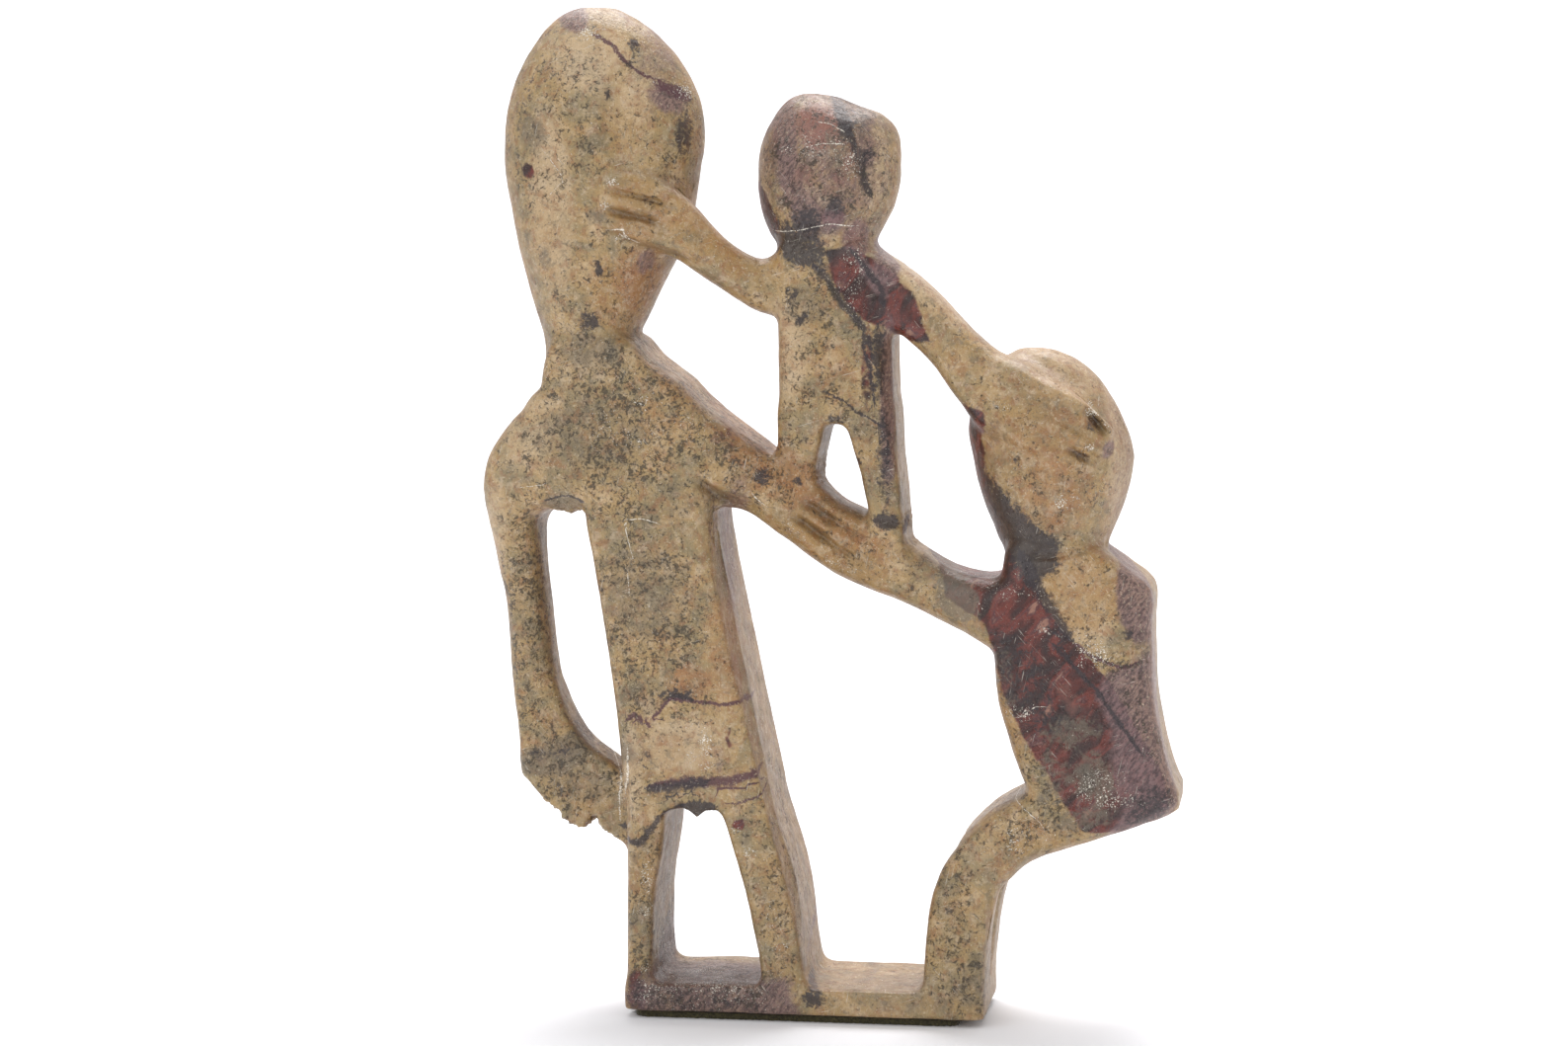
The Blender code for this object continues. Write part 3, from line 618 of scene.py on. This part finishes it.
# Larger fields of colour: the outline in pixels, how soft its edge is in pixels and the strength.
FIELDS = {
    "maroon": [
        ([(962, 586), (1042, 573), (1056, 612), (1085, 650), (1124, 690), (1152, 740), (1180, 790),
          (1186, 828), (1150, 850), (1100, 846), (1078, 815), (1062, 785), (1036, 746), (1016, 700),
          (1006, 655), (998, 632), (962, 612)], 7, 1.0),
        ([(840, 262), (866, 255), (884, 268), (908, 282), (930, 306), (944, 350), (922, 356), (902, 338),
          (884, 334), (868, 320), (850, 296)], 8, 1.0),
        ([(896, 292), (914, 300), (926, 320), (936, 346), (924, 352), (904, 332), (893, 314)], 8, 1.0),
        ([(980, 415), (998, 418), (1004, 470), (1010, 510), (1022, 545), (1032, 575), (1012, 580),
          (994, 520)], 6, 0.9),
        ([(770, 195), (782, 205), (796, 238), (792, 262), (778, 225)], 5, 0.9),
    ],
    "charcoal": [
        ([(1004, 640), (1040, 640), (1064, 680), (1084, 735), (1050, 752), (1028, 725),
          (1010, 685)], 16, 0.36),
        ([(1006, 492), (1032, 518), (1056, 539), (1076, 554), (1072, 578), (1052, 588), (1026, 574),
          (1012, 544)], 9, 1.0),
        ([(794, 238), (826, 236), (844, 262), (838, 282), (816, 272), (796, 256)], 10, 0.75),
        ([(1150, 800), (1186, 806), (1184, 834), (1140, 850)], 8, 0.55),
    ],
    "lavender": [
        ([(1122, 680), (1170, 668), (1186, 740), (1200, 800), (1190, 846), (1120, 860), (1150, 800),
          (1130, 745), (1108, 705)], 7, 1.0),
        ([(1133, 580), (1162, 575), (1178, 600), (1176, 650), (1150, 655), (1130, 620)], 6, 1.0),
        ([(640, 985), (800, 985), (812, 1030), (640, 1034)], 10, 0.8),
        ([(788, 118), (804, 104), (818, 106), (812, 130), (812, 160), (818, 190), (832, 226), (812, 238),
          (796, 206), (788, 160)], 8, 1.0),
    ],
    "rose": [
        ([(1118, 396), (1136, 412), (1150, 440), (1150, 500), (1136, 550), (1114, 556), (1124, 500),
          (1126, 440)], 8, 0.3),
        ([(1060, 690), (1084, 690), (1100, 720), (1086, 730)], 6, 0.5),
    ],
}


def stain_places(skin):
    """Where each point of the skin lies across the slab's face, once the slant of the stains is taken out."""
    place, _ = skin_points(skin)
    back = place[:, 1] - FACE_DEPTH
    return np.column_stack((place[:, 0] + SLANT_X * back, place[:, 2] + SLANT_Z * back))


def keep_values(skin, name, values):
    """Keeps one value for each point of the skin, for its material to read."""
    skin.data.attributes.new(name, "FLOAT", "POINT").data.foreach_set("value", values)


def lay_stains(skin):
    """Keeps how strong each colour is at each point, from 0 to 1."""
    across = stain_places(skin)
    for colour, stains in STAINS_AND_PAINTED_LIGHT.items():
        amount = np.zeros(len(across))
        for px, py, half_width, half_height, strength, *turned in stains:
            at = on_face(px, py)
            turn = math.radians(sum(turned))
            c, s = math.cos(turn), math.sin(turn)
            off = (across - (at.x, at.z)) * PIXELS_PER_METRE
            u = (off[:, 0] * c + off[:, 1] * s) / half_width
            w = (off[:, 1] * c - off[:, 0] * s) / half_height
            amount = np.maximum(amount, strength * soft(np.clip(1.5 - np.hypot(u, w), 0, 1)))
        for outline, softness, strength in FIELDS.get(colour, ()):
            depth = depth_inside(across, route_on_face(outline)) * PIXELS_PER_METRE
            amount = np.maximum(amount, strength * soft(np.clip(0.5 + depth / (2 * softness), 0, 1)))
        keep_values(skin, colour, amount)


lay_stains(stone)

# Veins by colour: the route in pixels and the half width in mm. The scratches are where a point has skidded.
VEINS = {
    "maroon": [
        ([(603, 40), (622, 50), (636, 66), (649, 78), (668, 89)], 0.6),
        ([(664, 88), (682, 98), (699, 108), (710, 115)], 1.8),
        ([(648, 734), (665, 722), (678, 706), (706, 709), (730, 713), (755, 710), (777, 725)], 0.65),
        ([(655, 795), (693, 791), (737, 791), (755, 786), (777, 780)], 1.9),
        ([(733, 812), (749, 812), (764, 807), (784, 800)], 0.4),
        ([(632, 730), (642, 722), (652, 728), (660, 736)], 0.9),
        ([(1087, 651), (1110, 668), (1133, 677), (1156, 671)], 0.7),
    ],
    "charcoal": [
        ([(676, 704), (688, 703), (702, 707)], 0.9),
        ([(653, 797), (675, 798), (693, 794), (718, 790)], 1.9),
        ([(632, 851), (647, 855), (657, 843), (668, 829), (687, 817), (695, 813)], 1.3),
        ([(836, 402), (855, 410), (872, 424), (903, 441)], 0.5),
        # not a vein: a painted shadow line above the lump at the top of the opening
        ([(552, 510), (562, 506), (580, 505), (594, 510)], 0.5),
        ([(854, 110), (862, 132), (868, 148), (877, 170), (880, 190), (890, 210)], 1.7),
        ([(826, 272), (843, 292), (860, 316), (874, 332), (888, 360)], 1.5),
        ([(865, 258), (882, 278), (896, 298), (900, 318)], 1.2),
        ([(1035, 560), (1048, 589), (1071, 628), (1087, 651)], 2.2),
        ([(1061, 648), (1094, 681), (1117, 707), (1136, 736), (1162, 769)], 0.8),
        ([(876, 345), (886, 380), (890, 420)], 0.7),
    ],
    "scratch": [
        ([(632, 525), (652, 525), (671, 531)], 0.14),
        ([(631, 527), (636, 548), (642, 568)], 0.14),
        ([(635, 576), (637, 602)], 0.14),
        ([(550, 153), (562, 170), (573, 185), (556, 205)], 0.12),
        ([(818, 152), (835, 148), (859, 150)], 0.16),
        ([(830, 128), (846, 131), (862, 140)], 0.14),
        ([(790, 246), (827, 235), (845, 231), (857, 234), (877, 237)], 0.2),
        ([(525, 497), (540, 494), (553, 492)], 0.14),
        ([(1030, 722), (1036, 728), (1046, 716), (1062, 716)], 0.14),
        ([(1040, 806), (1034, 818), (1056, 836), (1060, 846)], 0.14),
        ([(635, 752), (636, 790), (633, 822), (634, 850)], 0.3),
        ([(764, 505), (770, 512), (782, 521)], 0.2),
        ([(614, 232), (630, 231), (634, 242), (650, 250)], 0.3),
    ],
}

VEIN_REACH = 2.4  # how far from a vein's edge, in mm, its values are kept


def lay_veins(skin):
    """Keeps two values per point and colour: how far the nearest vein is, below zero on its far side, and the
    vein's half width there, both in mm. The half width is zero away from the vein and past its ends."""
    across = stain_places(skin)
    for colour, veins in VEINS.items():
        offset, width = np.zeros(len(across)), np.zeros(len(across))
        best = np.full(len(across), np.inf)
        for pixels, half_width in veins:
            gap, along, side = distance_to_route(across, route_on_face(pixels))
            gap_mm = gap * 1000
            closer = gap_mm < best
            best[closer] = gap_mm[closer]
            offset[closer] = (gap_mm * side)[closer]
            nearby = np.clip((half_width + VEIN_REACH - gap_mm) / (VEIN_REACH / 2), 0, 1)
            ends = np.clip(np.minimum(along, 1 - along) * 12, 0, 1)
            width[closer] = (half_width * nearby * ends)[closer]
        keep_values(skin, colour + "_offset", offset)
        keep_values(skin, colour + "_width", width)


lay_veins(stone)

SHADE_START_DEPTH, SHADE_FULL_DEPTH = 0.7, 1.6  # the depths in mm at which a cut begins to be darkened with painted shade, and is darkest
SCRATCH_SPACING_MM = 0.8


def lay_cut_shade_and_sides(skin):
    """Keeps the painted shade for the deep cuts, and how far the skin is turned off the two faces."""
    place, normal = skin_points(skin)
    cut_shade = np.zeros(len(place))
    for pixels, width, depth in CHISEL_STROKES:
        reach, ends = along_stroke(place, pixels, width, 4)
        shaded = reach * ends * np.clip((depth - SHADE_START_DEPTH) / (SHADE_FULL_DEPTH - SHADE_START_DEPTH), 0, 1)
        cut_shade = np.maximum(cut_shade, shaded * (place[:, 1] < 0))
    turned = np.clip((0.8 - np.abs(normal[:, 1])) / 0.5, 0, 1)
    keep_values(skin, "cut_shade", cut_shade)
    keep_values(skin, "sides", turned)


lay_cut_shade_and_sides(stone)


def soapstone(skin):
    """Waxed soapstone: a soft, faintly greasy gloss over clouded ochre, with dark grains, pale scratches and
    painted glints.
    """
    made, shader, add = new_material("waxed_soapstone")
    link = made.node_tree.links.new
    eased = {"interpolation_type": "SMOOTHSTEP"}
    times, plus, minus, larger, times_plus = (
        {"operation": name} for name in ("MULTIPLY", "ADD", "SUBTRACT", "MAXIMUM", "MULTIPLY_ADD"))
    metres = add("TexCoord", output="Object")
    mm = add("Mapping", {"Vector": metres, "Scale": (1000, 1000, 1000)})

    # the fibres of the stone run up to the right, and the rasp and the rubbing left their lines up and down
    fibres = add("Mapping", {"Vector": mm, "Rotation": (0, 0.9, 0)})
    streaks = add("Mapping", {"Vector": fibres, "Scale": (0.6, 1, 1.2)})
    strands = add("Mapping", {"Vector": fibres, "Scale": (0.35, 1, 1.3)})
    rasp_lines = add("Mapping", {"Vector": mm, "Scale": (1, 1, 0.08)})
    rub_lines = add("Mapping", {"Vector": mm, "Scale": (1.4, 1.4, 0.25)})

    # the patterns in the stone: the width of the lumps in mm, the detail, roughness and twist, and the run
    patterns = {
        "clouds": (9, 8, 0.62, 0.5, mm), "rust": (3.4, 6, 0.62, 0.6, mm), "curds": (2.9, 6, 0.64, 0.6, mm),
        "ash": (3.2, 8, 0.74, 1.0, mm), "marble": (6.5, 4, 0.52, 0.8, streaks),
        "threads": (1, 6, 0.72, 0, strands), "long_wander": (5, 3, 0.5, 0, mm),
        "short_wander": (1.1, 5, 0.7, 0, mm), "swelling": (1.8, 6, 0.7, 0, mm),
        "clusters": (6, 4, 0.65, 0, mm), "grains": (1.4, 7, 0.76, 0.8, mm),
        "fine_grains": (0.7, 4, 0.7, 0, mm), "pale_grains": (0.8, 5, 0.7, 0, mm),
        "rasping": (0.7, 4, 0.65, 0, rasp_lines),
        "glint_flecks": (0.5, 4, 0.65, 0, mm), "glint_patches": (7, 3, 0.6, 0, mm), "dashes": (0.5, 2, 0.6, 0, mm),
        "smears": (3, 6, 0.7, 0, mm), "rubbing": (0.8, 3, 0.6, 0, rub_lines), "pits": (1.8, 4, 0.55, 0, mm),
    }
    seen = {}
    for name, (width_mm, detail, roughness, twist, run) in patterns.items():
        seen[name] = add("TexNoise", {"Vector": run, "Scale": 1 / width_mm, "Detail": detail,
                                      "Roughness": roughness, "Distortion": twist})

    # the clouded ground runs from greenish grey through tan to warm ochre, and the marbled maroon from nearly
    # black slate through liver red to a pinkish grey
    shades = {
        "clouds": ((0.34, "#77694e"), (0.43, "#8c7a57"), (0.50, "#9a8259"), (0.57, "#a4875a"),
                   (0.66, "#b69c76")),
        "marble": ((0.32, "#2b1816"), (0.42, "#371b18"), (0.49, "#4a1e18"), (0.56, "#6a2f25"),
                   (0.62, "#502c2d"), (0.68, "#8e6656")),
    }
    for name, levels in shades.items():
        seen[name] = add("ValToRGB", (seen[name],))
        stops = seen[name].node.color_ramp.elements
        stops[0].position, stops[1].position = levels[0][0], levels[-1][0]
        for position, _ in levels[1:-1]:
            stops.new(position)
        for stop, (_, colour) in zip(stops, levels):
            stop.color = linear(colour)
    stone_colour = seen["clouds"]

    # the values that the skin's points keep
    edges_and_widths = [colour + part for colour in VEINS for part in ("_offset", "_width")]
    kept = {name: add("Attribute", output="Fac", attribute_name=name)
            for name in (*STAINS_AND_PAINTED_LIGHT, "cut_shade", "sides", *edges_and_widths)}

    def lay(share, strength, colour):
        """Lays a colour over the stone so far."""
        nonlocal stone_colour
        shown = add("Math", (share, strength), **times)
        stone_colour = add("Mix", {0: shown, 6: stone_colour, 7: linear(colour)}, 2, data_type="RGBA")

    def loose_edge(colour, grain_mm, roughness, twist):
        """Noise that breaks up a stain's edge, and where the stain is strong enough for it."""
        lumps = add("TexNoise", {"Vector": mm, "Scale": 1 / grain_mm, "Detail": 7, "Roughness": roughness,
                                 "Distortion": twist})
        fourfold = add("Math", (kept[colour], 4), **times)
        return lumps, add("Math", (fourfold, 1), operation="MINIMUM")

    def stain(colour, raggedness, grain_mm, low, high):
        """How much of a stain shows, with its edge broken up."""
        lumps, within = loose_edge(colour, grain_mm, 0.68, 0.6)
        ragged = add("Math", (lumps, raggedness, -raggedness / 2), **times_plus)
        shown = add("Math", (ragged, within, kept[colour]), **times_plus)
        return add("MapRange", (shown, low, high), **eased)

    def gathered(colour, grain_mm, crowding):
        """Marks that lie closer together the stronger the stain is, with the stone showing between them."""
        lumps, within = loose_edge(colour, grain_mm, 0.72, 0.8)
        marks = add("Math", (kept[colour], crowding, lumps), **times_plus)
        shown = add("MapRange", (marks, 0.55, 0.72), **eased)
        return add("Math", (shown, within), **times)

    lay(stain("cream", 0.8, 7, 0.2, 0.9), 0.85, "#bfa684")
    lay(stain("ochre", 0.9, 8, 0.2, 0.9), 0.7, "#9c7743")
    lay(stain("orange", 1.2, 4, 0.3, 0.9), 0.6, "#935a2f")
    for name, low, high, colour in (("rust", 0.46, 0.68, "#84522f"), ("curds", 0.48, 0.70, "#bda88c"),
                                    ("ash", 0.52, 0.64, "#675d49")):
        lay(add("MapRange", (seen[name], low, high), **eased), 0.55, colour)
    lay(stain("grey", 1.2, 3, 0.25, 0.85), 0.7, "#695d4c")
    maroon = stain("maroon", 1.0, 3.0, 0.3, 0.6)
    stone_colour = add("Mix", {0: maroon, 6: stone_colour, 7: seen["marble"]}, 2, data_type="RGBA")
    lay(stain("lavender", 1.0, 4, 0.25, 0.85), 0.8, "#7c6160")
    threads = add("MapRange", (seen["threads"], 0.46, 0.56), **eased)
    lay(add("Math", (kept["lavender"], threads), **times), 0.75, "#3a292c")
    lay(stain("rose", 0.8, 4, 0.2, 0.9), 0.85, "#84574b")
    lay(gathered("moss", 2.6, 0.30), 0.7, "#655c4e")
    charcoal = gathered("charcoal", 1.7, 0.34)
    lay(charcoal, 0.92, "#2a2224")
    dark = add("Math", (maroon, charcoal), **larger)
    plain = add("Math", (dark, -0.85, 1), **times_plus)

    # veins: each one's edge wanders a little and its width comes and goes
    long_way = add("Math", (seen["long_wander"], 2.0), **times)
    both_ways = add("Math", (seen["short_wander"], 2.4, long_way), **times_plus)
    wander = add("Math", (both_ways, 2.2), **minus)
    swelling = add("Math", (seen["swelling"], 2.6, -0.5), **times_plus)
    thick = add("Math", (swelling, 0.05), **larger)

    def vein(colour, shake, low=0.5, high=1.5):
        """How much of a vein shows, from 0 to 1."""
        moved = add("Math", (wander, shake, kept[colour + "_offset"]), **times_plus)
        away = add("Math", (moved,), operation="ABSOLUTE")
        swollen = add("Math", (kept[colour + "_width"], thick), **times)
        reach = add("Math", (swollen, 0.001), **larger)
        share = add("Math", (away, reach), operation="DIVIDE")
        return add("Math", (1, add("MapRange", (share, low, high), **eased)), **minus)

    lay(vein("maroon", 1), 0.9, "#4a2530")
    lay(vein("charcoal", 1), 0.9, "#2a2024")

    # grains, crowded where the stain of specks is strong and few on the dark stone
    crowd = add("Math", (kept["specks"], 0.08, -0.008), **times_plus)
    cluster = add("Math", (seen["clusters"], 0.36, -0.18), **times_plus)
    bar = add("Math", (crowd, cluster), **plus)
    grains = add("Math", (seen["grains"], bar), **plus)
    fine = add("Math", (bar, 0.7, seen["fine_grains"]), **times_plus)
    pale = add("Math", (bar, -0.3, seen["pale_grains"]), **times_plus)
    for kind, low, high, strength, colour in ((grains, 0.595, 0.645, 0.8, "#332c22"),
                                              (fine, 0.59, 0.645, 0.55, "#433624"),
                                              (pale, 0.58, 0.64, 0.4, "#d6c5a8")):
        shown = add("MapRange", (kind, low, high), **eased)
        lay(add("Math", (shown, plain), **times), strength, colour)

    # the sides, left from the rasp: matt, with lines that run up and down
    rasped = add("MapRange", (seen["rasping"], 0.3, 0.7), **eased)
    lay(add("Math", (kept["sides"], rasped), **times), 0.6, "#835c43")

    # painted shade in the deep cuts: a dark brown where the grooves would fall into shade
    lay(kept["cut_shade"], 0.55, "#4a3722")

    # painted glints: white flecks for light glancing off the wax, most of all along the sharp edges, with
    # pale scratches where the wax has broken
    convex_edges = add("MapRange", (add("NewGeometry", output="Pointiness"), 0.52, 0.58), **eased)
    patches = add("Math", (seen["glint_patches"], 0.3, -0.15), **times_plus)
    glint_flecks = add("Math", (seen["glint_flecks"], patches), **plus)
    glint_flecks = add("Math", (convex_edges, 0.05, glint_flecks), **times_plus)
    glint_flecks = add("Math", (kept["glints"], 0.16, glint_flecks), **times_plus)
    glint_mask = add("MapRange", (glint_flecks, 0.68, 0.71), **eased)
    scratches = None
    for turn, patch_mm in ((0.3, 10), (1.35, 12), (2.3, 14)):
        spun = add("Mapping", {"Vector": mm, "Rotation": (0, turn, 0)})
        drawn = add("Mapping", {"Vector": spun, "Scale": (0.12, 0.3, 2.6)})
        line = add("TexNoise", {"Vector": drawn, "Scale": 1 / SCRATCH_SPACING_MM})
        patch = add("TexNoise", {"Vector": mm, "Scale": 1 / patch_mm})
        patch = add("Math", (patch, 0.4, -0.2), **times_plus)
        mark = add("MapRange", (add("Math", (line, patch), **plus), 0.73, 0.78), **eased)
        scratches = add("Math", (scratches, mark), **larger) if scratches else mark
    dashes = add("MapRange", (seen["dashes"], 0.42, 0.5), **eased)
    skids = add("Math", (vein("scratch", 0.3, 0.6, 1.2), dashes), **times)
    faint = add("Math", (scratches, 0.4), **times)
    bright = add("Math", (glint_mask, faint), **larger)
    bright = add("Math", (bright, skids), **larger)
    lay(bright, 0.85, "#f1e9da")
    link(stone_colour, shader.inputs["Base Color"])

    # wax: a soft gloss, duller on the scratches, on the painted glints and on its sides
    smear = add("Math", (seen["smears"], 0.9, -0.14), **times_plus)
    matt_sides = add("Math", (kept["sides"], 0.3), **times)
    matt = add("Math", (bright, 0.25, matt_sides), **times_plus)
    link(add("Math", (matt, smear), **plus), shader.inputs["Roughness"])
    shader.inputs["IOR"].default_value = 1.54
    shader.inputs["Specular IOR Level"].default_value = 0.42
    shader.inputs["Coat Weight"].default_value = 0.12
    shader.inputs["Coat Roughness"].default_value = 0.15

    # pits under the grains, the scratches and the painted glints, and the fine lines of the last rubbing
    rubbing = add("Math", (seen["rubbing"], 0.45), **times)
    sunk = add("MapRange", (grains, 0.58, 0.68), **eased)
    height = add("Math", (sunk, -0.35, rubbing), **times_plus)
    height = add("Math", (seen["pits"], 0.7, height), **times_plus)
    height = add("Math", (bright, -0.35, height), **times_plus)
    bump = add("Bump", {"Height": height, "Strength": 0.85, "Distance": 0.00035})
    link(bump, shader.inputs["Normal"])
    skin.data.materials.append(made)


soapstone(stone)
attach(stone, "root")
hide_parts("stone_carving")


# The felt sole
# A thin sheet of dark olive pressed felt, cut with scissors a little inside the plinth and glued on. Its cut
# edge is fuzzy, and loose fibres stand out of it.

FELT_CORNER = 0.004
FELT_VOXEL = 0.0005
FUZZ_WIDTH, FUZZ_HEIGHT = 0.0012, 0.0005
FELT_FIBRES = 700
FIBRE_LENGTH = 0.0015
FIBRE_RADIUS = 0.00004
felt_low, felt_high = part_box("felt_sole")


def felt_pad():
    """The sheet with its rounded corners and its ruffled face and edge."""
    deselect_all()
    middle, size = (felt_low + felt_high) / 2, felt_high - felt_low
    bpy.ops.mesh.primitive_cube_add(size=1, location=middle, scale=size)
    pad = bpy.context.object
    pad.name = "felt_pad"
    bpy.ops.object.transform_apply(location=True, rotation=True, scale=True)
    select_edges(pad, lambda a, b: abs(a.z - b.z) > size.z / 2)
    bpy.ops.mesh.bevel(offset=FELT_CORNER, segments=4, affect="EDGES")
    switch("OBJECT")
    finish_with(pad, "REMESH", mode="VOXEL", voxel_size=FELT_VOXEL)
    ruffle(pad, FUZZ_WIDTH, FUZZ_HEIGHT, 0.7)
    bpy.ops.object.shade_smooth()
    return pad


def loose_fibres(pad):
    """Short wool fibres standing out of the cut edge, each a bent, three-sided thread."""
    chance = random.Random(7)
    half_x, half_y = (felt_high.x - felt_low.x) / 2, (felt_high.y - felt_low.y) / 2
    middle_x, middle_y = (felt_high.x + felt_low.x) / 2, (felt_high.y + felt_low.y) / 2
    corners, faces = [], []
    for _ in range(FELT_FIBRES):
        along = chance.uniform(-1, 1)
        if chance.random() < half_x / (half_x + half_y):
            side = chance.choice((-1, 1))
            root = Vector((middle_x + along * half_x * 0.95, middle_y + side * (half_y - 0.0003), 0))
            out = Vector((chance.uniform(-0.9, 0.9), side, 0))
        else:
            side = chance.choice((-1, 1))
            root = Vector((middle_x + side * (half_x - 0.0003), middle_y + along * half_y * 0.9, 0))
            out = Vector((side, chance.uniform(-0.9, 0.9), 0))
        root.z = chance.uniform(0.0004, felt_high.z - 0.0003)
        out.z = chance.uniform(-0.25, 0.45)
        out *= chance.uniform(0.0004, FIBRE_LENGTH) / out.length
        bend = Vector([chance.uniform(-0.0003, 0.0003) for _ in range(3)])
        spine = [root, root + out * 0.5 + bend, root + out]
        first = len(corners)
        for step, point in enumerate(spine):
            for turn in range(3):
                angle = turn * math.tau / 3
                ring = Vector((math.cos(angle), math.sin(angle), math.sin(angle + 1))) * FIBRE_RADIUS
                place = point + ring * (1 - 0.3 * step)
                corners.append((place.x, place.y, max(place.z, 0.0001)))
        for step in (0, 3):
            for turn in range(3):
                a, b = first + step + turn, first + step + (turn + 1) % 3
                faces.append((a, b, b + 3, a + 3))
        faces += [(first + 2, first + 1, first), (first + 6, first + 7, first + 8)]
    mesh = bpy.data.meshes.new("felt_fibres")
    mesh.from_pydata(corners, [], faces)
    fibres = bpy.data.objects.new("felt_fibres", mesh)
    bpy.context.scene.collection.objects.link(fibres)
    deselect_all()
    fibres.select_set(True)
    pad.select_set(True)
    bpy.context.view_layer.objects.active = pad
    bpy.ops.object.join()
    switch("EDIT")
    bpy.ops.mesh.select_all(action="SELECT")
    bpy.ops.mesh.normals_make_consistent(inside=False)
    switch("OBJECT")


def felt_material(pad):
    """Pressed wool felt: quite matt, with a sheen of loose fibre at its edges."""
    made, shader, add = new_material("olive_felt")
    link = made.node_tree.links.new
    metres = add("TexCoord", output="Object")
    tangle = add("TexNoise", {"Vector": metres, "Scale": 1400, "Detail": 4, "Distortion": 1.5})
    shade = add("ValToRGB", (tangle,))
    low, high = shade.node.color_ramp.elements
    low.position, low.color = 0.35, linear("#1f1c10")
    high.position, high.color = 0.7, linear("#575030")
    link(shade, shader.inputs["Base Color"])
    shader.inputs["Roughness"].default_value = 0.95
    shader.inputs["Sheen Weight"].default_value = 0.3
    bump = add("Bump", {"Height": tangle, "Strength": 0.8, "Distance": 0.0003})
    link(bump, shader.inputs["Normal"])
    pad.data.materials.append(made)


pad = felt_pad()
loose_fibres(pad)
felt_material(pad)
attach(pad, "root")
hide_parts("felt_sole")
